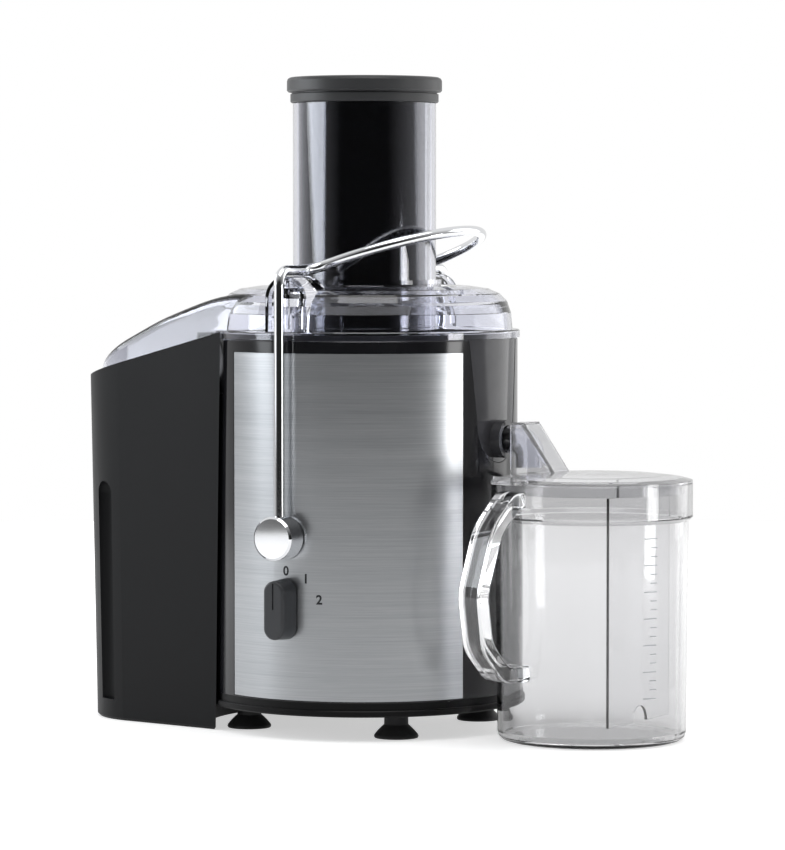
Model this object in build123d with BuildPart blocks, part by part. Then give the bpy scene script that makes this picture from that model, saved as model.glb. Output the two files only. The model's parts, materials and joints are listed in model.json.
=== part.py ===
from build123d import *
import os
from math import cos, radians, sin

os.makedirs("parts", exist_ok=True)

# Driving dimensions in millimetres. Heights are above the table.
spindle_x = -16.75      # puts the footprint's centre at the origin
body_r = 90.0           # outside of the motor housing
body_wall = 2.6
plinth_low = 14.0       # underside of the base, on top of the feet
body_low = 22.0
body_high = 228.0
deck_low = 155.0        # floor that carries the motor
deck_high = 158.0
chute_r = 42.0
chute_bore = 39.5
chute_high = 365.0
chute_low = 196.0
pivot_z = 116.0         # hinge of the locking arm
leg_y = 97.0
rod_r = 3.0
knob_z = 75.0
bin_gap_r = 92.5        # the bin's hollow face, round the housing
bin_far_x = -174.0
rim_slope = 0.248       # the bin's rim falls towards its far end
jug_x = 150.0           # centre of the jug, from the spindle
jug_r = 55.5
jug_high = 147.0
spout_z = 170.5
running = 0.06          # radial play of a shaft in its hole

# Planes and axes. On side and jug_side, local x is the radius and local y the height.
floor = Plane((spindle_x, 0, 0))
side = Plane((spindle_x, 0, 0), x_dir=(1, 0, 0), z_dir=(0, -1, 0))
end = Plane((spindle_x, 0, 0), x_dir=(0, 1, 0), z_dir=(1, 0, 0))
jug_side = Plane((spindle_x + jug_x, 0, 0), x_dir=(1, 0, 0), z_dir=(0, -1, 0))
spindle = Axis((spindle_x, 0, 0), (0, 0, 1))
jug_axis = Axis((spindle_x + jug_x, 0, 0), (0, 0, 1))


def outline(plane, *points):
    """Closed straight-sided outline on a plane."""
    with BuildSketch(plane) as drawn:
        with BuildLine():
            Polyline(*points, close=True)
        make_face()
    return drawn.sketch


def discs(plane, radius, *centres):
    """Circles on a plane."""
    with BuildSketch(plane) as drawn:
        with Locations(*(centres or [(0, 0)])):
            Circle(radius)
    return drawn.sketch


def plates(plane, width, height, *centres):
    """Rectangles on a plane."""
    with BuildSketch(plane) as drawn:
        with Locations(*(centres or [(0, 0)])):
            Rectangle(width, height)
    return drawn.sketch


def ring(low, high, outer, inner=0.0, about=spindle, on=side, mode=Mode.ADD):
    """Turned ring or disc between two heights."""
    revolve(outline(on, (inner, low), (outer, low), (outer, high), (inner, high)), axis=about, mode=mode)


def sector(plane, outer, start, stop):
    """Wedge of a disc, from one angle to another, counter-clockwise from +X."""
    steps = [start + (stop - start) * i / 4 for i in range(5)]
    reach = outer / cos(radians((stop - start) / 8))
    rays = [(reach * cos(radians(a)), reach * sin(radians(a))) for a in steps]
    return outline(plane, (0, 0), *rays)


def polar(radius, *angles):
    """Points on a circle, by angle in degrees."""
    return [(radius * cos(radians(a)), radius * sin(radians(a))) for a in angles]


# Motor housing: a round shell with a deck inside, a seat for the panel and a notch for the bowl's apron.
panel_start = -117.0    # angles of the brushed panel, counter-clockwise from +X
panel_stop = -21.0
panel_low = 22.6
panel_high = 221.0
panel_seat = 1.0
notch_top = 29.0
notch_waist = 21.5
notch_waist_z = 180.0
notch_low = 157.0


def notch(plane, slack):
    """Tapered apron outline, seen from +X, rounded at its foot."""
    top, waist, low = notch_top + slack, notch_waist + slack, notch_low - slack
    with BuildSketch(plane) as drawn:
        with BuildLine():
            left = Line((-top, body_high + 8), (-waist, notch_waist_z))
            right = Line((waist, notch_waist_z), (top, body_high + 8))
            ThreePointArc(left @ 1, (0, low), right @ 0)
            Line(right @ 1, left @ 0)
        make_face()
    return drawn.sketch


with BuildPart() as motor_housing:
    ring(body_low, body_high, body_r, body_r - body_wall)
    ring(deck_low, deck_high, body_r - body_wall, 9.0)
    ring(deck_high, 172, 18, 15)
    chamfer(motor_housing.edges().filter_by(GeomType.CIRCLE).group_by(Axis.Z)[-1].sort_by(SortBy.RADIUS)[-1], 0.6)
    with BuildPart(mode=Mode.PRIVATE) as panel_room:
        extrude(sector(floor.offset(panel_low), body_r + 2, panel_start, panel_stop), amount=panel_high - panel_low)
        ring(0, 250, body_r - panel_seat, mode=Mode.SUBTRACT)
    add(panel_room.part, mode=Mode.SUBTRACT)
    extrude(notch(end.offset(60), 0.4), amount=60, mode=Mode.SUBTRACT)
    extrude(discs(side.offset(-100), 8, (0, pivot_z)), amount=200, mode=Mode.SUBTRACT)
    extrude(discs(side.offset(80), 3.5, (0, knob_z)), amount=15, mode=Mode.SUBTRACT)
    extrude(discs(side.offset(-95), 7, (0, 38)), amount=15, mode=Mode.SUBTRACT)
    for row in range(6):
        extrude(plates(side.offset(-95), 44, 2.4, (0, 60 + 6 * row)), amount=12, mode=Mode.SUBTRACT)
    with Locations(*[(spindle_x + x, y, body_low + 6) for x, y in polar(80, 30, 150, 210, 330)]):
        Cylinder(5.5, 12)
    with Locations(*[(spindle_x + x, y, body_low + 5) for x, y in polar(80, 30, 150, 210, 330)]):
        Cylinder(1.75, 10.2, mode=Mode.SUBTRACT)
    for x, y in polar(80, 30, 150, 210, 330):
        rib = Plane((spindle_x + x, y, body_low + 6), x_dir=(x, y, 0), z_dir=(0, 0, 1))
        extrude(plates(rib, 4, 4, (6.4, 0)), amount=6, both=True)

with BuildPart() as front_panel:
    extrude(sector(floor.offset(panel_low + 0.2), body_r + 2, panel_start + 0.2, panel_stop - 0.2),
            amount=panel_high - panel_low - 0.4)
    ring(0, 250, body_r + 9, body_r - 0.2, mode=Mode.SUBTRACT)
    ring(0, 250, body_r - panel_seat, mode=Mode.SUBTRACT)
    extrude(discs(side.offset(60), 8.1, (0, pivot_z)), amount=60, mode=Mode.SUBTRACT)
    extrude(discs(side.offset(60), 3.6, (0, knob_z)), amount=60, mode=Mode.SUBTRACT)

# Base plate with its wider lower lip, its screws and the four suction feet.
foot_places = polar(70, 45, 135, 225, 315)
screw_places = polar(80, 30, 150, 210, 330)

with BuildPart() as base_plate:
    revolve(outline(side, (0, plinth_low), (90.7, plinth_low), (91.5, plinth_low + 0.8), (91.5, 17.2),
                    (90.9, 17.8), (90, 17.8), (90, body_low), (87, body_low), (87, 17.2), (0, 17.2)), axis=spindle)
    with Locations(*[(spindle_x + x, y, 19.6) for x, y in screw_places]):
        Cylinder(5.5, 4.8)
    extrude(discs(floor, 2.0, *screw_places), amount=30, mode=Mode.SUBTRACT)
    extrude(discs(floor.offset(10), 3.7, *screw_places), amount=7, mode=Mode.SUBTRACT)
    extrude(discs(floor, 3.0, *foot_places), amount=20, mode=Mode.SUBTRACT)
    for row in range(7):
        extrude(plates(floor.offset(10), 40, 2.4, (0, -18 + 6 * row)), amount=10, mode=Mode.SUBTRACT)

for number, (x, y) in enumerate(screw_places, 1):
    here = Axis((spindle_x + x, y, 0), (0, 0, 1))
    upright = Plane((spindle_x + x, y, 0), x_dir=(1, 0, 0), z_dir=(0, -1, 0))
    with BuildPart() as base_screw:
        revolve(outline(upright, (0, 15), (3.5, 15), (3.5, 16.9), (1.74, 16.9), (1.74, 30), (0.9, 31.5), (0, 31.5)),
                axis=here)
        extrude(plates(Plane((spindle_x + x, y, 14)), 4.2, 0.9), amount=2, mode=Mode.SUBTRACT)
        extrude(plates(Plane((spindle_x + x, y, 14)), 0.9, 4.2), amount=2, mode=Mode.SUBTRACT)
    base_screw.part.label = f"base_screw_{number}"
    export_step(base_screw.part, f"parts/base_screw_{number}.step")

for number, (x, y) in enumerate(foot_places, 1):
    here = Axis((spindle_x + x, y, 0), (0, 0, 1))
    upright = Plane((spindle_x + x, y, 0), x_dir=(1, 0, 0), z_dir=(0, -1, 0))
    with BuildPart() as foot:
        revolve(outline(upright, (0, 1.6), (8, 0.9), (10.5, 0), (12.4, 0), (12.85, 0.8), (12.6, 1.8), (10.6, 4.2),
                        (8.4, 6.4), (7.0, 7.6), (6.9, plinth_low), (2.95, plinth_low), (2.95, 19), (0, 19)), axis=here)
    foot.part.label = f"foot_{number}"
    export_step(foot.part, f"parts/foot_{number}.step")

# Juice bowl: a trough on the deck, with its apron in the housing's notch and the outlet boss.
bowl_r = 84.6
bowl_floor = 165.0
lip_r = 98.0

with BuildPart() as juice_bowl:
    revolve(outline(side, (19.5, bowl_floor - 2.6), (bowl_r, bowl_floor - 2.6), (bowl_r, body_high), (89, body_high),
                    (89, body_high + 3.2), (82, body_high + 3.2), (82, bowl_floor), (22, bowl_floor), (22, 178),
                    (19.5, 178)), axis=spindle)
    with BuildPart(mode=Mode.PRIVATE) as pulp_lip:
        revolve(outline(side, (88, 229.2), (lip_r - 2, 229.2), (lip_r - 2, 216), (lip_r, 216), (lip_r, 231.2),
                        (88, 231.2)), axis=spindle)
        extrude(sector(floor.offset(200), 130, 144, 216), amount=60, mode=Mode.INTERSECT)
    add(pulp_lip.part)
    with BuildPart(mode=Mode.PRIVATE) as apron:
        extrude(notch(end.offset(60), 0), amount=50)
        ring(100, body_high, body_r - 0.2, bowl_r - 1, mode=Mode.INTERSECT)
    add(apron.part)
    extrude(discs(end.offset(84), 11, (0, spout_z)), amount=11.5)
    extrude(discs(end.offset(88), 8.05, (0, spout_z)), amount=10, mode=Mode.SUBTRACT)
    extrude(discs(end.offset(75), 5.4, (0, spout_z)), amount=20, mode=Mode.SUBTRACT)

# Clear juice spout, plugged in the boss and bent down over the jug.
spout_bend = 10.0

with BuildPart() as juice_spout:
    with BuildLine():
        run = Line((spindle_x + 88.2, 0, spout_z), (spindle_x + 99.5, 0, spout_z))
        bend = TangentArc(run @ 1, (spindle_x + 99.5 + spout_bend, 0, spout_z - spout_bend), tangent=run % 1)
        Line(bend @ 1, (spindle_x + 99.5 + spout_bend, 0, 154.5))
    with BuildSketch(Plane(run @ 0, x_dir=(0, 1, 0), z_dir=(1, 0, 0))):
        Circle(8.0)
        Circle(6.3, mode=Mode.SUBTRACT)
    sweep()

# Lid: dome, flange, feed chute, cover over the pulp bin and two lugs, all one clear moulding.
lid_wall = 2.2
dome = [(87, 233), (86.2, 242.5), (83.8, 249.5), (79.2, 254), (73, 256.7), (61.4, 258.4), (40, 259.6)]
lug_r = 13.0
lug_top = 264.7


def bin_outline(plane, inset):
    """Plan of the bin's walls, round at the far end and run on under the dome at the near one."""
    with BuildSketch(plane) as drawn:
        with BuildLine():
            FilletPolyline((-30, -79.7), (bin_far_x, -58.5), (bin_far_x, 58.5), (-30, 79.7), radius=[50, 50])
            Line((-30, 79.7), (-30, -79.7))
        make_face()
        if inset:
            offset(amount=-inset, mode=Mode.REPLACE)
    return drawn.sketch


def cover_plan(plane, inset):
    """Plan of the pulp cover, run on under the dome."""
    with BuildSketch(plane) as drawn:
        with BuildLine():
            FilletPolyline((-30 - inset, -73.0 + inset), (bin_far_x + 8 + inset, -53.0 + inset),
                           (bin_far_x + 8 + inset, 53.0 - inset), (-30 - inset, 73.0 - inset),
                           radius=[44 - inset, 44 - inset])
            Line((-30 - inset, 73.0 - inset), (-30 - inset, -73.0 + inset))
        make_face()
    return drawn.sketch


def cover_block(inset):
    """Pulp cover as a solid block under its falling top; inset gives the space inside it."""
    top = [(-30, 253.5), (-60, 252), (-88, 244), (-105, 238), (-121, 231), (-136, 224), (-152, 215), (-168, 203)]
    with BuildPart() as block:
        extrude(cover_plan(floor.offset(196), inset), amount=70)
        with BuildSketch(side, mode=Mode.PRIVATE) as under:
            with BuildLine():
                crest = Spline(*[(x, z - inset) for x, z in top])
                Polyline(crest @ 1, (bin_far_x - 10, 203 - inset), (bin_far_x - 10, 190), (-20, 190),
                         (-20, 253.5 - inset), crest @ 0)
            make_face()
        extrude(under.sketch, amount=90, both=True, mode=Mode.INTERSECT)
        if not inset:
            fillet(block.edges().filter_by(
                lambda e: e.bounding_box().min.Z > 197 and e.center().X < spindle_x - 31), 5)
            slant = Plane((spindle_x - 49, 0, 230), x_dir=(1, 0, rim_slope), z_dir=(-rim_slope, 0, 1))
            extrude(plates(slant, 400, 300), amount=-80, mode=Mode.SUBTRACT)
            ring(150, 231.6, 92.2, mode=Mode.SUBTRACT)
    return block.part


def lug_arch(plane, inset):
    """Arched end of a lug; inset gives the pocket in its outer end."""
    with BuildSketch(plane) as drawn:
        with Locations((0, lug_top - lug_r)):
            Circle(lug_r - inset)
        with Locations((0, 232.5 + inset)):
            Rectangle(2 * (lug_r - inset), lug_top - lug_r - 232.5 - inset, align=(Align.CENTER, Align.MIN))
    return drawn.sketch


with BuildPart() as lid:
    revolve(outline(side, (0, 231.6), (89.3, 231.6), (89.3, 228.4), (91.3, 228.4), (91.3, 232.2), (90.5, 233),
                    *dome, (0, 259.6)), axis=spindle)
    add(cover_block(0))
    for near in (66, -90.8):
        extrude(lug_arch(side.offset(near), 0), amount=24.8)
    inner_dome = [(r - lid_wall, z - lid_wall if z > 243 else z) for r, z in dome[:-1]]
    revolve(outline(side, (0, 226), (87 - lid_wall, 226), *inner_dome, (0, 259.6 - lid_wall)), axis=spindle,
            mode=Mode.SUBTRACT)
    add(cover_block(lid_wall), mode=Mode.SUBTRACT)
    for near in (87, -93):
        extrude(lug_arch(side.offset(near), lid_wall), amount=6, mode=Mode.SUBTRACT)
    for near in (85, -90.8):
        extrude(plates(side.offset(near), 1.8, 30, (0, 248)), amount=5.8)
    ring(chute_low, chute_high, chute_r)
    ring(257.5, 262, chute_r + 3.2, chute_r - 1)
    ring(180, 380, chute_bore, mode=Mode.SUBTRACT)

# Pusher: a cup that slides in the chute, and its cap.
with BuildPart() as pusher_body:
    revolve(outline(side, (0, 196), (10, 194.5), (36.6, 194.5), (38.5, 196.5), (38.8, 364), (38.8, 370),
                    (36.4, 370), (36.2, 198.5), (0, 198.5)), axis=spindle)

with BuildPart() as pusher_cap:
    revolve(outline(side, (0, 371.4), (36.2, 371.4), (36.2, 370.2), (39.2, 370.2), (39.2, 365.4), (42.8, 365.4),
                    (43.5, 366.1), (43.5, 370.4), (42.6, 370.8), (42.6, 371.6), (44.6, 371.6), (45.5, 372.5),
                    (45.5, 378.2), (44.9, 379.5), (43.6, 380.2), (30, 380.4), (0, 380.4)), axis=spindle)

# Locking arm: a chrome rod, up one side, round the chute and down the other.
loop_tilt = radians(18)
loop_r = 60.0
arm_high = 268.0


def on_loop(along, across):
    """A point of the tilted loop, from the rod's place over the lugs."""
    return (spindle_x + along * cos(loop_tilt), across, arm_high + along * sin(loop_tilt))


with BuildPart() as locking_arm:
    with BuildLine():
        rise = Line((spindle_x, -leg_y, pivot_z + 4), (spindle_x, -leg_y, arm_high - 8))
        knee = TangentArc(rise @ 1, (spindle_x, -leg_y + 8, arm_high), tangent=rise % 1)
        shelf = Line(knee @ 1, (spindle_x, -loop_r - 12, arm_high))
        turn = TangentArc(shelf @ 1, on_loop(12, -loop_r), tangent=shelf % 1)
        lead = Line(turn @ 1, on_loop(13, -loop_r))
        bow = ThreePointArc(lead @ 1, on_loop(13 + loop_r, 0), on_loop(13, loop_r))
        back_lead = Line(bow @ 1, on_loop(12, loop_r))
        back_turn = TangentArc(back_lead @ 1, (spindle_x, loop_r + 12, arm_high), tangent=back_lead % 1)
        back_shelf = Line(back_turn @ 1, (spindle_x, leg_y - 8, arm_high))
        back_knee = TangentArc(back_shelf @ 1, (spindle_x, leg_y, arm_high - 8), tangent=back_shelf % 1)
        Line(back_knee @ 1, (spindle_x, leg_y, pivot_z + 4))
    with BuildSketch(Plane(rise @ 0, x_dir=(1, 0, 0), z_dir=(0, 0, 1))):
        Circle(rod_r)
    sweep()

# Pivot caps with their pins, the bushes that they turn in, and the interlock cam behind the front one.
cap_r = 12.5
cap_near = 90.8
cap_far = 105.5
pin_r = 4.0


def pivot_cap(sign):
    """Turned cap and pin on the hinge line; sign is -1 at the front, 1 at the rear."""
    hinge = Plane((spindle_x, 0, pivot_z), x_dir=(0, sign, 0), z_dir=(1, 0, 0))
    with BuildPart() as made:
        revolve(outline(hinge, (78, 0), (78, pin_r), (cap_near, pin_r), (cap_near, cap_r - 0.8),
                        (cap_near + 0.8, cap_r), (cap_far - 1.2, cap_r), (cap_far, cap_r - 1.2), (cap_far, 0)),
                axis=Axis((spindle_x, 0, pivot_z), (0, 1, 0)))
        extrude(discs(Plane((spindle_x, sign * leg_y, pivot_z + 4)), rod_r), amount=20, mode=Mode.SUBTRACT)
    return made


pivot_cap_front = pivot_cap(-1)
pivot_cap_front.part.label = "pivot_cap_front"
export_step(pivot_cap_front.part, "parts/pivot_cap_front.step")
pivot_cap_rear = pivot_cap(1)
pivot_cap_rear.part.label = "pivot_cap_rear"
export_step(pivot_cap_rear.part, "parts/pivot_cap_rear.step")

for name, sign in (("pivot_bush_front", -1), ("pivot_bush_rear", 1)):
    hinge = Plane((spindle_x, 0, pivot_z), x_dir=(0, sign, 0), z_dir=(1, 0, 0))
    hole = pin_r + running
    with BuildPart() as pivot_bush:
        revolve(outline(hinge, (83, hole), (83, 10), (85.5, 10), (85.5, 7.95), (90.2, 7.95), (90.2, hole)),
                axis=Axis((spindle_x, 0, pivot_z), (0, 1, 0)))
    pivot_bush.part.label = name
    export_step(pivot_bush.part, f"parts/{name}.step")

with BuildPart() as interlock_cam:
    extrude(discs(side.offset(78.5), 8, (0, pivot_z)), amount=4)
    extrude(plates(side.offset(78.5), 6, 9, (0, pivot_z + 9)), amount=4)
    extrude(discs(side.offset(70), pin_r, (0, pivot_z)), amount=20, mode=Mode.SUBTRACT)

with BuildPart() as interlock_switch:
    extrude(plates(side.offset(72), 20, 10, (0, pivot_z + 21)), amount=7)
    extrude(plates(side.offset(73), 3, 3, (0, pivot_z + 15)), amount=5)

# Switch knob on the front, with its shaft, and the rotary switch behind the wall.
with BuildPart() as switch_knob:
    with BuildSketch(side.offset(90.3)):
        with Locations((0, knob_z)):
            SlotOverall(35, 14.5, rotation=90)
    extrude(amount=14, taper=3)
    fillet(switch_knob.faces().sort_by(Axis.Y)[0].edges(), 1.6)
    extrude(plates(side.offset(103.6), 1.2, 15, (0, knob_z + 8)), amount=2, mode=Mode.SUBTRACT)
    extrude(discs(side.offset(84.3), 3, (0, knob_z)), amount=6.4)

with BuildPart() as switch_body:
    extrude(plates(side.offset(66), 26, 28, (0, knob_z)), amount=17)
    extrude(discs(side.offset(83), 5, (0, knob_z)), amount=1)
    for level in (-7, 7):
        extrude(plates(side.offset(58), 0.8, 6, (-6, knob_z + level), (6, knob_z + level)), amount=8)

# Motor: brackets, stator, rotor, brushes, fan, bearings, dampers and the shaft seal.
shaft_r = 4.0
core_low = 58.0
core_high = 98.0

with BuildPart() as bracket_lower:
    extrude(plates(floor.offset(34), 92, 26), amount=6)
    ring(29.5, 40, 13.5)
    ring(31, 45, 11, mode=Mode.SUBTRACT)
    ring(20, 45, 6, mode=Mode.SUBTRACT)
    extrude(discs(floor.offset(40), 4, (-40, 0), (40, 0)), amount=core_low - 40)

with BuildPart() as bracket_upper:
    ring(122, 126, 45)
    ring(120, 131.5, 13.5)
    ring(122, 129, 11, mode=Mode.SUBTRACT)
    ring(110, 140, 6, mode=Mode.SUBTRACT)
    extrude(discs(floor.offset(core_high), 4, (-40, 0), (40, 0)), amount=122 - core_high)
    extrude(discs(floor.offset(110), 5, *polar(30, 90, 162, 234, 306, 18)), amount=30, mode=Mode.SUBTRACT)

with BuildPart() as stator_core:
    extrude(plates(floor.offset(core_low), 92, 76), amount=core_high - core_low)
    chamfer(stator_core.edges().filter_by(Axis.Z), 8)
    ring(0, 150, 23, mode=Mode.SUBTRACT)
    extrude(plates(floor, 26, 62), amount=150, mode=Mode.SUBTRACT)

with BuildPart() as stator_coils:
    for low in (core_low - 7.4, core_high + 0.4):
        ring(low, low + 7, 34, 24)
    extrude(plates(floor, 90, 8), amount=150, mode=Mode.SUBTRACT)

with BuildPart() as motor_shaft:
    ring(27, 186, shaft_r)
    chamfer(motor_shaft.edges().filter_by(GeomType.CIRCLE), 0.5)

with BuildPart() as rotor_core:
    ring(core_low, core_high, 22.3, shaft_r)
    for turn_angle in range(0, 360, 30):
        slot = Plane((spindle_x, 0, core_low - 1), x_dir=(cos(radians(turn_angle)), sin(radians(turn_angle)), 0),
                     z_dir=(0, 0, 1))
        extrude(plates(slot, 9, 3, (19, 0)), amount=core_high - core_low + 2, mode=Mode.SUBTRACT)

with BuildPart() as rotor_windings:
    for low in (core_low - 6.4, core_high + 0.4):
        ring(low, low + 6, 20, shaft_r + 2)
    fillet(rotor_windings.edges().filter_by(GeomType.CIRCLE), 1.8)

with BuildPart() as commutator:
    ring(40.5, 50.4, 11.5, shaft_r)
    for turn_angle in range(0, 360, 15):
        slot = Plane((spindle_x, 0, 40), x_dir=(cos(radians(turn_angle)), sin(radians(turn_angle)), 0),
                     z_dir=(0, 0, 1))
        extrude(plates(slot, 2, 0.6, (11, 0)), amount=12, mode=Mode.SUBTRACT)

for name, sign in (("left", -1), ("right", 1)):
    facing = Plane((spindle_x, 0, 45.4), x_dir=(0, 1, 0), z_dir=(sign, 0, 0))
    with BuildPart() as carbon_brush:
        extrude(plates(facing.offset(11.7), 6, 7), amount=14)
    carbon_brush.part.label = f"carbon_brush_{name}"
    export_step(carbon_brush.part, f"parts/carbon_brush_{name}.step")
    with BuildPart() as brush_holder:
        extrude(plates(facing.offset(14), 9, 10), amount=20)
        extrude(plates(facing.offset(13), 6.2, 7.2), amount=19, mode=Mode.SUBTRACT)
    brush_holder.part.label = f"brush_holder_{name}"
    export_step(brush_holder.part, f"parts/brush_holder_{name}.step")

with BuildPart() as cooling_fan:
    ring(112, 114, 36, shaft_r)
    ring(112, 119, 8, shaft_r)
    for turn_angle in range(0, 360, 40):
        blade = Plane((spindle_x, 0, 113), x_dir=(cos(radians(turn_angle)), sin(radians(turn_angle)), 0),
                      z_dir=(0, 0, 1))
        extrude(plates(blade, 28, 1.4, (21, 0)), amount=6)

for name, low in (("bearing_lower", 31.2), ("bearing_upper", 122.0)):
    with BuildPart() as bearing:
        ring(low, low + 7, 10.98, 8.6)
    bearing.part.label = f"{name}_outer"
    export_step(bearing.part, f"parts/{name}_outer.step")
    with BuildPart() as bearing_race:
        ring(low, low + 7, 6.6, shaft_r)
    bearing_race.part.label = f"{name}_inner"
    export_step(bearing_race.part, f"parts/{name}_inner.step")

for number, (x, y) in enumerate(polar(36, 90, 210, 330), 1):
    with BuildPart() as motor_damper:
        extrude(discs(Plane((spindle_x + x, y, 126)), 7), amount=deck_low - 126)
        with Locations((spindle_x + x, y, 140)):
            Torus(8.4, 2.4, mode=Mode.SUBTRACT)
    motor_damper.part.label = f"motor_damper_{number}"
    export_step(motor_damper.part, f"parts/motor_damper_{number}.step")

with BuildPart() as shaft_seal:
    revolve(outline(side, (shaft_r + running, 153), (8.95, 153), (8.95, deck_high), (12, deck_high), (12, 160.5),
                    (shaft_r + running, 160.5)), axis=spindle)

with BuildPart() as bowl_seal:
    ring(deck_high, bowl_floor + 3, 19.45, 18.05)

# Drive coupler, basket hub, grater disc, filter mesh and basket rim, all turning with the motor.
with BuildPart() as drive_coupler:
    ring(174, 185, 10, shaft_r)
    for turn_angle in range(0, 360, 60):
        tooth = Plane((spindle_x, 0, 174), x_dir=(cos(radians(turn_angle)), sin(radians(turn_angle)), 0),
                      z_dir=(0, 0, 1))
        extrude(plates(tooth, 3.4, 3, (10.6, 0)), amount=11)

with BuildPart() as basket_hub:
    ring(175, 186.4, 16, 12.6)
    ring(186.4, 188, 24, shaft_r + 0.5)

with BuildPart() as grater_disc:
    ring(188, 189.2, 39)
    for reach in (12, 18, 24, 30, 36):
        for turn_angle in range(0, 360, 30):
            tooth = Plane((spindle_x, 0, 189.2),
                          x_dir=(cos(radians(turn_angle + 2 * reach)), sin(radians(turn_angle + 2 * reach)), 0),
                          z_dir=(0, 0, 1))
            extrude(plates(tooth, 2.6, 1.2, (reach, 0)), amount=1.4)

with BuildPart() as filter_mesh:
    revolve(outline(side, (39, 188), (40, 188), (66.4, 224), (65.4, 224), (39, 189.2)), axis=spindle)

with BuildPart() as basket_rim:
    revolve(outline(side, (66.5, 221.5), (70, 221.5), (70, 227), (65.2, 227), (65.2, 224.2), (66.5, 224.2)),
            axis=spindle)

# Control board and the cord's inlet in the rear wall.
with BuildPart() as control_board:
    extrude(plates(floor.offset(24), 50, 22, (0, 66)), amount=1.6)
    extrude(plates(floor.offset(25.6), 12, 10, (-14, 66)), amount=9)
    extrude(discs(floor.offset(25.6), 4, (6, 66), (17, 66)), amount=12)

inlet_z = 38.0
inlet_bore = 3.6

with BuildPart() as cord_inlet:
    rear = Plane((spindle_x, 0, inlet_z), x_dir=(0, 1, 0), z_dir=(1, 0, 0))
    revolve(outline(rear, (85, inlet_bore), (93, inlet_bore), (93, 7.6), (91.6, 8.6), (90.1, 8.6), (90.1, 6.95),
                    (86.8, 6.95), (86.8, 8.6), (85, 8.6)), axis=Axis((spindle_x, 0, inlet_z), (0, 1, 0)))

# Pulp bin: a draughted shell with a hollow face and a finger groove on each side.
bin_wall = 2.2
bin_draft = 1.0
bin_plan_z = 246.0      # height at which the bin's plan is drawn; its walls lean in below
groove_place = (-145.2, 58.7)
groove_r = 7.5
groove_high = 142.0


def bin_block(inset, low):
    """The bin's outer form, or the space inside it when inset."""
    with BuildPart() as block:
        extrude(bin_outline(floor.offset(bin_plan_z), inset), amount=-(bin_plan_z - low), taper=bin_draft)
        chamfer(block.edges().group_by(Axis.Z)[0], 1.5)
        ring(-1, 260, bin_gap_r + inset, mode=Mode.SUBTRACT)
        for sign in (1, -1):
            reach = groove_r + inset
            with Locations((spindle_x + groove_place[0], sign * groove_place[1], 12 - inset)):
                Cylinder(reach, groove_high - 12 - groove_r + inset, align=(Align.CENTER, Align.CENTER, Align.MIN),
                         mode=Mode.SUBTRACT)
            with Locations((spindle_x + groove_place[0], sign * groove_place[1], groove_high - groove_r)):
                Sphere(reach, mode=Mode.SUBTRACT)
    return block.part


with BuildPart() as pulp_bin:
    add(bin_block(0, 0))
    slant = Plane((spindle_x - 49, 0, 233), x_dir=(1, 0, rim_slope), z_dir=(-rim_slope, 0, 1))
    extrude(plates(slant, 400, 300), amount=60, mode=Mode.SUBTRACT)
    add(bin_block(bin_wall, bin_wall), mode=Mode.SUBTRACT)
    with BuildPart(mode=Mode.PRIVATE) as low_wall:
        ring(196, 260, 99)
        extrude(plates(floor.offset(190), 200, 144), amount=80, mode=Mode.INTERSECT)
    add(low_wall.part, mode=Mode.SUBTRACT)

# Jug with its handle, its lid and the froth separator that hangs from the lid.
jug_wall = 2.4
handle_angle = 247.5
handle_half = 9.0

with BuildPart() as jug:
    revolve(outline(jug_side, (0, 0), (49, 0), (51.5, 0.8), (53.4, 2.6), (54, 5), (jug_r, 126), (57.5, 128),
                    (57.5, jug_high), (57.5 - jug_wall, jug_high), (57.5 - jug_wall, 129),
                    (jug_r - jug_wall, 126), (54 - jug_wall, 6), (50, 3.2), (0, 3.2)), axis=jug_axis)

with BuildPart() as jug_handle:
    grip = Plane((spindle_x + jug_x, 0, 0), x_dir=(cos(radians(handle_angle)), sin(radians(handle_angle)), 0),
                 z_dir=(sin(radians(handle_angle)), -cos(radians(handle_angle)), 0))
    with BuildSketch(grip) as handle_side:
        with BuildLine():
            FilletPolyline((50, 144), (64, 144), (81, 125), (92, 88), (88, 56), (72, 37), (50, 37),
                           radius=[10, 40, 34, 22, 12])
            FilletPolyline((50, 46), (68, 46), (79.5, 60), (83, 87), (73, 120), (60, 135), (50, 135),
                           radius=[9, 18, 30, 32, 5])
            Line((50, 144), (50, 135))
            Line((50, 37), (50, 46))
        make_face()
    extrude(handle_side.sketch, amount=handle_half, both=True)
    fillet(jug_handle.edges().filter_by(lambda e: e.length > 9), 1.6)
    revolve(outline(jug_side, (0, 0), (54.05, 5), (jug_r + 0.05, 126), (57.55, 128), (57.55, 160), (0, 160)),
            axis=jug_axis, mode=Mode.SUBTRACT)

hood_low = 103.0
hood_half = 11.0
hood_far = 131.0


def hood(thick):
    """Raised hood over the spout; thick is how far this form stands inside the outer one."""
    with BuildPart() as made:
        with BuildSketch(side) as rise_side:
            with BuildLine():
                Polyline((hood_low - (1 if thick else 0), 148), (hood_low - (1 if thick else 0), 180.6 - thick),
                         (hood_low + 8, 180.6 - thick), (hood_far - 1.4 * thick, 152),
                         (hood_far - 1.4 * thick, 148), close=True)
            make_face()
        extrude(rise_side.sketch, amount=hood_half - thick, both=True)
        if not thick:
            fillet(made.edges().filter_by(lambda e: e.center().Z > 153 and abs(e.center().Y) > hood_half - 1 and
                                          e.center().X > spindle_x + hood_low + 0.5), 2.5)
    return made.part


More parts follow.
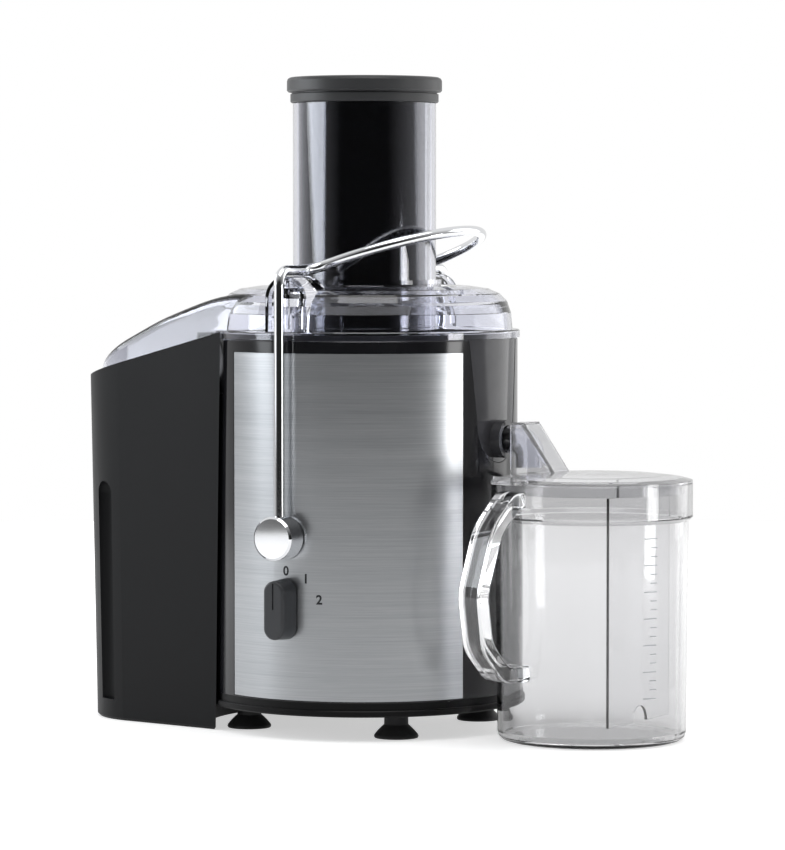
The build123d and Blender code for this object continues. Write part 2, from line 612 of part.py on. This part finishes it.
with BuildPart() as jug_lid:
    revolve(outline(jug_side, (0, 150.9), (20, 150.6), (40, 149.4), (50, 148), (50, 141.5), (52, 141.5), (52, 147.4),
                    (57.4, 147.4), (57.4, 148.8), (52, 150.2), (40, 151.6), (20, 152.6), (0, 152.9)), axis=jug_axis)
    add(hood(0))
    add(hood(1.6), mode=Mode.SUBTRACT)
    extrude(plates(Plane((spindle_x, 0, 130)), 36, 18.6, (105, 0)), amount=24, mode=Mode.SUBTRACT)
    extrude(plates(Plane((spindle_x, 0, 130)), 12, 24.6, (91, 0)), amount=24, mode=Mode.SUBTRACT)
    with BuildSketch(Plane((spindle_x + jug_x, 0, 148.2), x_dir=grip.x_dir, z_dir=(0, 0, 1))):
        with Locations((58, 0)):
            RectangleRounded(20, 20, 3)
    extrude(amount=2.2)
    with BuildSketch(Plane((spindle_x + jug_x, 0, 150), x_dir=grip.x_dir, z_dir=(0, 0, 1))):
        with Locations((65.5, 0)):
            SlotOverall(17, 2.6, rotation=90)
    extrude(amount=2.6)

separator_x = 30.0      # from the jug's centre
separator_low = 12.0

with BuildPart() as froth_separator:
    extrude(plates(Plane((spindle_x + jug_x, 0, separator_low)), 1.6, 80, (separator_x, 0)), amount=129)
    with Locations((spindle_x + jug_x + separator_x, 0, separator_low)):
        Cylinder(9, 6, rotation=(0, 90, 0), mode=Mode.SUBTRACT)
    extrude(plates(Plane((spindle_x + jug_x, 0, 141)), 1.6, 56, (separator_x, 0)), amount=8)

assembly = {
    "motor_housing": motor_housing, "front_panel": front_panel, "base_plate": base_plate, "juice_bowl": juice_bowl,
    "juice_spout": juice_spout, "lid": lid, "pusher_body": pusher_body, "pusher_cap": pusher_cap,
    "locking_arm": locking_arm, "interlock_cam": interlock_cam, "interlock_switch": interlock_switch,
    "switch_knob": switch_knob, "switch_body": switch_body, "bracket_lower": bracket_lower,
    "bracket_upper": bracket_upper, "stator_core": stator_core, "stator_coils": stator_coils,
    "rotor_windings": rotor_windings, "motor_shaft": motor_shaft,
    "rotor_core": rotor_core, "commutator": commutator, "cooling_fan": cooling_fan, "shaft_seal": shaft_seal,
    "bowl_seal": bowl_seal, "drive_coupler": drive_coupler, "basket_hub": basket_hub, "grater_disc": grater_disc,
    "filter_mesh": filter_mesh, "basket_rim": basket_rim, "control_board": control_board, "cord_inlet": cord_inlet,
    "pulp_bin": pulp_bin, "jug": jug, "jug_handle": jug_handle, "jug_lid": jug_lid,
    "froth_separator": froth_separator,
}
for name, made in assembly.items():
    made.part.label = name
    export_step(made.part, f"parts/{name}.step")
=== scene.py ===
import json
import math
import bpy
import bmesh
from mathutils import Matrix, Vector


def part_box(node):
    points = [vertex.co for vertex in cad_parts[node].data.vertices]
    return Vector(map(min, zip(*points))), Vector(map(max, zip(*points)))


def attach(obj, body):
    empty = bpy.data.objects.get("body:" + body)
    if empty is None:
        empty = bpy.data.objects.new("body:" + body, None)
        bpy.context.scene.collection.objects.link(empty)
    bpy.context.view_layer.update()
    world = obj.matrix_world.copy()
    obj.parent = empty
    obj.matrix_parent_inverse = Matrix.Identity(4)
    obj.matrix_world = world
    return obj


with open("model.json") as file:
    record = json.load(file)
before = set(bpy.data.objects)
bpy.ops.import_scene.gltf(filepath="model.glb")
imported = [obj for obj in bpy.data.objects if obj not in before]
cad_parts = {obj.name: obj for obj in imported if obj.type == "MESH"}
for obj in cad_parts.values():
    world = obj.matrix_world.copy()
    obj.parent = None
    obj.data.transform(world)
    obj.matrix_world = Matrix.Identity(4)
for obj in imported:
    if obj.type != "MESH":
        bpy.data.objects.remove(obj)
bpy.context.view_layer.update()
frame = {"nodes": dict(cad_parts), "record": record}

print("frame loaded")

# where things are, read from the frame
housingLow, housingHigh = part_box("motor_housing")
spindleX = (housingLow[0] + housingHigh[0]) / 2
bodyRadius = (housingHigh[0] - housingLow[0]) / 2
jugLow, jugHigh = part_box("jug")
jugX = (jugLow[0] + jugHigh[0]) / 2
knobLow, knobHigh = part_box("switch_knob")
knobZ = (knobLow[2] + knobHigh[2]) / 2

viewing = {
    "azimuth": 30.0,        # degrees round from the front, towards the jug
    "distance": 2.387,      # metres from the spindle
    "eyeHeight": 0.291,
    "turn": 0.394,          # degrees to the right of the spindle
    "tilt": 2.751,          # degrees down
    "lens": 171.87,
}


def placeCamera():
    around = math.radians(viewing["azimuth"])
    data = bpy.data.cameras.new("camera")
    data.lens = viewing["lens"]
    data.sensor_width = 36
    data.clip_start = 0.05
    data.clip_end = 60
    camera = bpy.data.objects.new("camera", data)
    bpy.context.scene.collection.objects.link(camera)
    camera.location = (spindleX + viewing["distance"] * math.sin(around),
                       -viewing["distance"] * math.cos(around), viewing["eyeHeight"])
    camera.rotation_euler = (math.radians(90 - viewing["tilt"]), 0, around - math.radians(viewing["turn"]))
    bpy.context.scene.camera = camera


placeCamera()
print("camera placed")


class Shader:
    def __init__(self, name):
        self.material = bpy.data.materials.new(name)
        self.material.use_nodes = True
        self.nodes = self.material.node_tree.nodes
        self.links = self.material.node_tree.links
        self.surface = self.nodes["Principled BSDF"]
        self.position = self.nodes.new("ShaderNodeTexCoord").outputs["Object"]

    def set(self, **values):
        for key, value in values.items():
            self.surface.inputs[key.replace("_", " ")].default_value = value
        return self

    def stretched(self, scale):
        mapping = self.nodes.new("ShaderNodeMapping")
        mapping.inputs["Scale"].default_value = scale
        self.links.new(self.position, mapping.inputs["Vector"])
        return mapping.outputs["Vector"]

    def noise(self, scale, detail=4.0, roughness=0.55, vector=None):
        node = self.nodes.new("ShaderNodeTexNoise")
        node.inputs["Scale"].default_value = scale
        node.inputs["Detail"].default_value = detail
        node.inputs["Roughness"].default_value = roughness
        self.links.new(vector or self.position, node.inputs["Vector"])
        return node.outputs["Fac"]

    def cells(self, scale, feature="F1", vector=None):
        node = self.nodes.new("ShaderNodeTexVoronoi")
        node.feature = feature
        node.inputs["Scale"].default_value = scale
        self.links.new(vector or self.position, node.inputs["Vector"])
        return node.outputs["Distance"]

    def spread(self, value, low, high, fromLow=0.3, fromHigh=0.7):
        node = self.nodes.new("ShaderNodeMapRange")
        node.inputs["From Min"].default_value = fromLow
        node.inputs["From Max"].default_value = fromHigh
        node.inputs["To Min"].default_value = low
        node.inputs["To Max"].default_value = high
        self.links.new(value, node.inputs["Value"])
        return node.outputs["Result"]

    def joined(self, kind, first, second):
        node = self.nodes.new("ShaderNodeMath")
        node.operation = kind
        for socket, value in zip(node.inputs, (first, second)):
            if isinstance(value, (int, float)):
                socket.default_value = value
            else:
                self.links.new(value, socket)
        return node.outputs[0]

    def tones(self, value, *stops):
        ramp = self.nodes.new("ShaderNodeValToRGB")
        while len(ramp.color_ramp.elements) < len(stops):
            ramp.color_ramp.elements.new(0.5)
        for element, (place, tone) in zip(ramp.color_ramp.elements, stops):
            element.position = place
            element.color = (*tone, 1)
        self.links.new(value, ramp.inputs["Fac"])
        return ramp.outputs["Color"]

    def wire(self, socket, value):
        self.links.new(value, self.surface.inputs[socket])
        return self

    def bump(self, height, strength, distance=0.0002):
        node = self.nodes.new("ShaderNodeBump")
        node.inputs["Strength"].default_value = strength
        node.inputs["Distance"].default_value = distance
        self.links.new(height, node.inputs["Height"])
        self.links.new(node.outputs["Normal"], self.surface.inputs["Normal"])
        return self


def glossPlastic(name, tone, polish=0.1, tint=0.25, sheen=0.4):
    made = Shader(name).set(Specular_IOR_Level=sheen)
    smudge = made.noise(9, 5, 0.6)
    made.wire("Roughness", made.spread(smudge, polish * 0.75, polish * 1.5))
    darker = [c * (1 - tint) for c in tone]
    lighter = [c * (1 + tint) for c in tone]
    made.wire("Base Color", made.tones(made.noise(22, 3), (0.35, darker), (0.65, lighter)))
    made.bump(made.noise(140, 2, 0.5), 0.02, 0.0001)   # faint unevenness of the moulding
    return made.material


def satinPlastic(name, tone, roughness=0.42, grain=2600, depth=0.16, sheen=0.45):
    made = Shader(name).set(Specular_IOR_Level=sheen)
    texture = made.noise(grain, 2, 0.7)
    handling = made.noise(11, 5, 0.6)
    made.wire("Roughness", made.spread(handling, roughness * 0.88, roughness * 1.14))
    darker = [c * 0.82 for c in tone]
    lighter = [c * 1.2 for c in tone]
    made.wire("Base Color", made.tones(made.joined("ADD", made.joined("MULTIPLY", texture, 0.5),
                                                   made.joined("MULTIPLY", handling, 0.5)),
                                       (0.36, darker), (0.66, lighter)))
    made.bump(texture, depth, 0.00006)
    return made.material


def brushedSteel(name, finish):
    made = Shader(name).set(Metallic=1.0)
    # long scratches, short ones between them and broad soft bands
    long = made.noise(1, 5, 0.62, made.stretched((finish["long"], finish["long"], finish["fine"])))
    short = made.noise(1, 3, 0.6, made.stretched((finish["short"], finish["short"], finish["fine"] * 2.6)))
    broad = made.noise(1, 2, 0.5, made.stretched((3, 3, finish["fine"] * 0.12)))
    softer = made.joined("ADD", made.joined("MULTIPLY", short, 0.27), made.joined("MULTIPLY", broad, 0.18))
    lines = made.joined("ADD", made.joined("MULTIPLY", long, 0.55), softer)
    made.wire("Base Color", made.tones(lines, (0.36, finish["dark"]), (0.5, finish["middle"]),
                                       (0.62, finish["light"])))
    rough = finish["roughness"]
    made.wire("Roughness", made.spread(lines, rough * 0.92, rough * 1.1, 0.35, 0.65))
    made.bump(lines, 0.12, 0.00004)
    return made.material


def polishedMetal(name, tone, roughness):
    made = Shader(name).set(Metallic=1.0, Base_Color=(*tone, 1))
    wipe = made.noise(14, 6, 0.65)
    made.wire("Roughness", made.spread(wipe, roughness * 0.6, roughness * 1.6))
    made.bump(made.noise(900, 2), 0.008, 0.00002)
    return made.material


def clearPlastic(name, tone, roughness=0.02, ior=1.45, milk=0.0):
    # milk is the share of light that scatters instead of going through
    made = Shader(name).set(Transmission_Weight=1 - milk, IOR=ior, Base_Color=(*tone, 1),
                            Specular_IOR_Level=0.5)
    made.wire("Roughness", made.spread(made.noise(16, 4, 0.6), roughness * 0.5, roughness * 1.9))
    made.bump(made.noise(55, 2, 0.5), 0.03, 0.0002)   # flow marks
    return made.material


def softRubber(name, tone):
    made = Shader(name).set(Specular_IOR_Level=0.35, Sheen_Weight=0.12)
    dust = made.noise(60, 6, 0.65)
    made.wire("Base Color", made.tones(dust, (0.35, tone), (0.7, [c * 1.9 for c in tone])))
    made.wire("Roughness", made.spread(dust, 0.5, 0.72))
    made.bump(made.noise(1800, 3, 0.7), 0.2, 0.00008)
    return made.material


def castMetal(name, tone, roughness, grain=700):
    made = Shader(name).set(Metallic=1.0)
    rough = made.noise(grain, 5, 0.65)
    made.wire("Base Color", made.tones(rough, (0.3, [c * 0.75 for c in tone]), (0.7, tone)))
    made.wire("Roughness", made.spread(rough, roughness * 0.8, roughness * 1.2))
    made.bump(rough, 0.25, 0.0001)
    return made.material


def stackedSheets(name):
    made = Shader(name).set(Metallic=0.9)
    layers = made.noise(1, 1, 0.5, made.stretched((2, 2, 2000)))
    made.wire("Base Color", made.tones(layers, (0.4, (0.1, 0.1, 0.11)), (0.6, (0.3, 0.3, 0.32))))
    made.set(Roughness=0.5).bump(layers, 0.5, 0.0002)
    return made.material


def woundWire(name):
    made = Shader(name).set(Metallic=0.85, Coat_Weight=0.5, Coat_Roughness=0.15)
    strands = made.cells(900, "F1", made.stretched((1, 1, 2.2)))
    made.wire("Base Color", made.tones(strands, (0.1, (0.62, 0.27, 0.11)), (0.7, (0.2, 0.07, 0.03))))
    made.set(Roughness=0.3).bump(strands, 0.6, 0.0004)
    return made.material


def etchedMesh(name):
    made = Shader(name).set(Metallic=1.0)
    holes = made.cells(620)
    made.wire("Base Color", made.tones(holes, (0.28, (0.03, 0.03, 0.03)), (0.36, (0.62, 0.62, 0.64))))
    made.wire("Roughness", made.spread(holes, 0.6, 0.25, 0.2, 0.4))
    made.bump(holes, 0.5, 0.0003)
    return made.material


def circuitBoard(name):
    made = Shader(name).set(Coat_Weight=0.4)
    tracks = made.cells(240, "DISTANCE_TO_EDGE")
    made.wire("Base Color", made.tones(tracks, (0.04, (0.14, 0.4, 0.2)), (0.09, (0.02, 0.13, 0.06))))
    made.set(Roughness=0.35).bump(tracks, 0.2, 0.0001)
    return made.material


steel = {
    "long": 12, "short": 60,    # how often the scratches break along their length, per metre
    "fine": 1500,               # and how close they lie
    "roughness": 0.3,
    "dark": (0.345, 0.357, 0.372), "middle": (0.395, 0.406, 0.42), "light": (0.45, 0.46, 0.47),
}
finishes = {
    "black_gloss": glossPlastic("blackGloss", (0.009, 0.009, 0.0105), 0.1),
    "smoke_gloss": glossPlastic("smokeGloss", (0.05, 0.05, 0.055), 0.08),
    "pusher_gloss": glossPlastic("pusherGloss", (0.002, 0.002, 0.0027), 0.07, sheen=0.8),
    "black_satin": satinPlastic("blackSatin", (0.003, 0.003, 0.0033), 0.34, sheen=0.15),
    "cap_satin": satinPlastic("capSatin", (0.04, 0.041, 0.043), 0.4),
    "bin_matte": satinPlastic("binMatte", (0.006, 0.0062, 0.007), 0.42, 2200, 0.25, 0.16),
    "knob_satin": satinPlastic("knobSatin", (0.034, 0.036, 0.04), 0.36),
    "nylon": satinPlastic("nylon", (0.62, 0.6, 0.55), 0.5),
    "carbon": satinPlastic("carbon", (0.04, 0.04, 0.042), 0.6),
    "brushed_panel": brushedSteel("brushedPanel", steel),
    "stainless": brushedSteel("stainless", {**steel, "fine": 300}),
    "stainless_mesh": etchedMesh("etchedMesh"),
    "bearing_steel": polishedMetal("groundSteel", (0.6, 0.61, 0.63), 0.22),
    "chrome": polishedMetal("chrome", (0.86, 0.87, 0.89), 0.035),
    "brass": polishedMetal("brass", (0.78, 0.58, 0.28), 0.25),
    "clear_plastic": clearPlastic("clearLid", (0.9, 0.91, 0.975)),
    "clear_jug": clearPlastic("clearJug", (0.825, 0.825, 0.832)),
    "grey_clear": clearPlastic("greyClear", (0.9, 0.902, 0.915), 0.06, milk=0.14),
    "rubber": softRubber("rubber", (0.012, 0.012, 0.013)),
    "cast_alloy": castMetal("castAlloy", (0.55, 0.56, 0.58), 0.42),
    "lamination": stackedSheets("lamination"),
    "copper_wire": woundWire("copperWire"),
    "circuit_board": circuitBoard("circuitBoard"),
}
# the separator is thin, so it hardly bends what is seen through it
separatorFinish = clearPlastic("clearSeparator", (0.95, 0.95, 0.955), 0.04, 1.12, milk=0.04)
for entry in frame["record"]["subparts"]:
    node = frame["nodes"][entry["node"]]
    for place in range(len(node.material_slots)):
        node.material_slots[place].link = "OBJECT"
        node.material_slots[place].material = finishes[entry["material_slot"]]
for place in frame["nodes"]["froth_separator"].material_slots:
    place.material = separatorFinish
print("materials on", len(frame["nodes"]), "nodes")


def newPiece(name, mesh, body, material):
    piece = bpy.data.objects.new(name, mesh)
    bpy.context.scene.collection.objects.link(piece)
    mesh.materials.clear()
    mesh.materials.append(material)
    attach(piece, body)
    return piece


def wrapRound(mesh, centreX, radius, angle, height):
    # local x runs round the cylinder, local y runs up it, local z stands out of it
    for vertex in mesh.vertices:
        x, y, z = vertex.co
        a = angle + x / radius
        vertex.co = (centreX + (radius + z) * math.cos(a), (radius + z) * math.sin(a), height + y)
    mesh.update()


def inkMaterial(name, tone):
    made = Shader(name).set(Specular_IOR_Level=0.3)
    worn = made.noise(900, 4, 0.6)
    made.wire("Base Color", made.tones(worn, (0.3, tone), (0.75, [c * 1.6 + 0.01 for c in tone])))
    made.set(Roughness=0.45).bump(worn, 0.05, 0.00002)
    return made.material


panelInk = inkMaterial("panelInk", (0.012, 0.012, 0.014))
jugInk = inkMaterial("jugInk", (0.34, 0.35, 0.38))

dial = {
    "digits": {"0": 0, "1": 36, "2": 75},   # degrees clockwise from straight up
    "ring": 0.0215,
    "size": 0.0074,
    "weight": 0.00022,      # thickens the strokes
    "raised": 0.00012,
    "panelRadius": bodyRadius - 0.0002,     # the sheet's face lies just inside the housing's
}


def makeDial():
    for digit, turn in dial["digits"].items():
        words = bpy.data.curves.new("digit", "FONT")
        words.body = digit
        words.size = dial["size"]
        words.extrude = dial["raised"] / 2
        words.offset = dial["weight"]
        words.resolution_u = 6
        words.align_x = "CENTER"
        words.align_y = "CENTER"
        holder = bpy.data.objects.new("digit", words)
        bpy.context.scene.collection.objects.link(holder)
        bpy.context.view_layer.update()
        mesh = bpy.data.meshes.new_from_object(holder.evaluated_get(bpy.context.evaluated_depsgraph_get()))
        bpy.data.objects.remove(holder)
        across = dial["ring"] * math.sin(math.radians(turn))
        up = dial["ring"] * math.cos(math.radians(turn))
        angle = math.radians(-90) + across / dial["panelRadius"]
        wrapRound(mesh, spindleX, dial["panelRadius"], angle, knobZ + up)
        newPiece("dial_digit_" + digit, mesh, "base", panelInk)


makeDial()

scale = {
    "lowest": 0.028, "highest": 0.118, "steps": 18, "longEvery": 3,
    "angle": -22, "short": 0.0045, "long": 0.009, "thick": 0.0005,
    "clear": 0.00008, "raised": 0.0001,                             # off the wall, and the ink's depth
    "wallLow": 0.0541, "wallHigh": 0.0556, "wallTop": 0.126,        # radius of the jug at its foot and neck
}


def makeScale():
    build = bmesh.new()
    for step in range(scale["steps"] + 1):
        height = scale["lowest"] + (scale["highest"] - scale["lowest"]) * step / scale["steps"]
        wide = scale["long"] if step % scale["longEvery"] == 0 else scale["short"]
        leaning = (scale["wallHigh"] - scale["wallLow"]) * height / scale["wallTop"]
        radius = scale["wallLow"] + leaning + scale["clear"]
        start = math.radians(scale["angle"])
        rows = []
        for part in range(5):
            a = start - wide / radius * part / 4
            corners = ((0, 0), (scale["raised"], 0), (scale["raised"], scale["thick"]), (0, scale["thick"]))
            rows.append([build.verts.new((jugX + (radius + out) * math.cos(a), (radius + out) * math.sin(a),
                                          height + rise)) for out, rise in corners])
        for first, second in zip(rows, rows[1:]):
            for side in range(4):
                build.faces.new((first[side], second[side], second[(side + 1) % 4], first[(side + 1) % 4]))
        build.faces.new(rows[0])
        build.faces.new(rows[-1][::-1])
    bmesh.ops.recalc_face_normals(build, faces=build.faces)
    mesh = bpy.data.meshes.new("jug_scale")
    build.to_mesh(mesh)
    build.free()
    newPiece("jug_scale", mesh, "jug", jugInk)


makeScale()
print("dial and scale made")

studio = {
    "floorTone": 0.7,
    "floorRadius": 1.7,
    "nearGlow": 0.55, "nearReach": 0.3,     # the floor's own light close to the object
    "farGlow": 1.0, "farReach": 1.1,        # and far from it
    "floorMirrored": 0.55,                  # share of that light that the object picks up
    "behind": 0.8, "behindEdge": -0.7,      # the room past the object
    "before": 0.02, "beforeEdge": 0.75,     # the room on the camera's side
    "above": 0.75,                          # how far the ceiling counts as behind
    "aimHeight": 0.18,
}
# around is in degrees from the camera's side, towards +X
lamps = {
    "leftBox": {"around": -97, "distance": 1.3, "height": 0.55, "width": 0.45, "tall": 1.5,
                "power": 8.5, "tone": (0.92, 0.96, 1.0)},
    "rightBox": {"around": 110, "distance": 1.3, "height": 0.5, "width": 0.8, "tall": 1.4,
                 "power": 3.8, "tone": (1, 1, 1)},
    "lowBox": {"around": 68, "distance": 1.1, "height": 0.13, "width": 0.3, "tall": 0.24,
               "power": 1.7, "tone": (1, 1, 1)},
    "topBox": {"around": 10, "distance": 0.5, "height": 1.6, "width": 1.2, "tall": 1.2,
               "power": 10, "tone": (1, 1, 1)},
}


def floorMaterial():
    made = Shader("paleFloor").set(Roughness=0.6, Specular_IOR_Level=0.2)
    tone = studio["floorTone"]
    made.wire("Base Color", made.tones(made.noise(3, 3), (0.3, (tone, tone, tone)), (0.7, (tone * 1.02,) * 3)))
    reach = made.nodes.new("ShaderNodeVectorMath")
    reach.operation = "LENGTH"
    made.links.new(made.position, reach.inputs[0])
    made.set(Emission_Color=(1, 1, 1, 1))
    glow = made.spread(reach.outputs["Value"], studio["nearGlow"], studio["farGlow"],
                       studio["nearReach"], studio["farReach"])
    seen = made.nodes.new("ShaderNodeLightPath").outputs["Is Camera Ray"]
    share = made.spread(seen, studio["floorMirrored"], 1, 0, 1)
    made.wire("Emission Strength", made.joined("MULTIPLY", glow, share))
    return made.material


def makeFloor():
    build = bmesh.new()
    bmesh.ops.create_circle(build, cap_ends=True, radius=studio["floorRadius"], segments=128)
    mesh = bpy.data.meshes.new("floor")
    build.to_mesh(mesh)
    build.free()
    mesh.materials.append(floorMaterial())
    floor = bpy.data.objects.new("floor", mesh)
    floor.location = (0, 0, -0.0002)
    bpy.context.scene.collection.objects.link(floor)


def softBox(name, lamp):
    data = bpy.data.lights.new(name, "AREA")
    data.shape = "RECTANGLE"
    data.size = lamp["width"]
    data.size_y = lamp["tall"]
    data.energy = lamp["power"]
    data.color = lamp["tone"]
    box = bpy.data.objects.new(name, data)
    bpy.context.scene.collection.objects.link(box)
    a = math.radians(viewing["azimuth"] + lamp["around"])
    box.location = (spindleX + lamp["distance"] * math.sin(a), -lamp["distance"] * math.cos(a), lamp["height"])
    aim = Vector((spindleX, 0, studio["aimHeight"])) - box.location
    box.rotation_euler = aim.to_track_quat("-Z", "Z").to_euler()


def makeWorld():
    world = bpy.data.worlds.new("studio")
    bpy.context.scene.world = world
    world.use_nodes = True
    tree = world.node_tree
    back = tree.nodes["Background"]
    facing = tree.nodes.new("ShaderNodeVectorMath")
    facing.operation = "DOT_PRODUCT"
    around = math.radians(viewing["azimuth"])
    facing.inputs[1].default_value = (math.sin(around), -math.cos(around), -studio["above"])
    tree.links.new(tree.nodes.new("ShaderNodeTexCoord").outputs["Generated"], facing.inputs[0])
    fade = tree.nodes.new("ShaderNodeMapRange")
    fade.inputs["From Min"].default_value = studio["behindEdge"]
    fade.inputs["From Max"].default_value = studio["beforeEdge"]
    fade.inputs["To Min"].default_value = studio["behind"]
    fade.inputs["To Max"].default_value = studio["before"]
    tree.links.new(facing.outputs["Value"], fade.inputs["Value"])
    back.inputs["Color"].default_value = (1, 1, 1, 1)
    tree.links.new(fade.outputs["Result"], back.inputs["Strength"])
    seen = tree.nodes.new("ShaderNodeBackground")
    seen.inputs["Color"].default_value = (1, 1, 1, 1)
    path = tree.nodes.new("ShaderNodeLightPath")
    mix = tree.nodes.new("ShaderNodeMixShader")
    tree.links.new(path.outputs["Is Camera Ray"], mix.inputs["Fac"])
    tree.links.new(back.outputs["Background"], mix.inputs[1])
    tree.links.new(seen.outputs["Background"], mix.inputs[2])
    tree.links.new(mix.outputs["Shader"], tree.nodes["World Output"].inputs["Surface"])


makeFloor()
for name, lamp in lamps.items():
    softBox(name, lamp)
makeWorld()
bpy.context.scene.view_settings.view_transform = "Standard"
print("studio made")
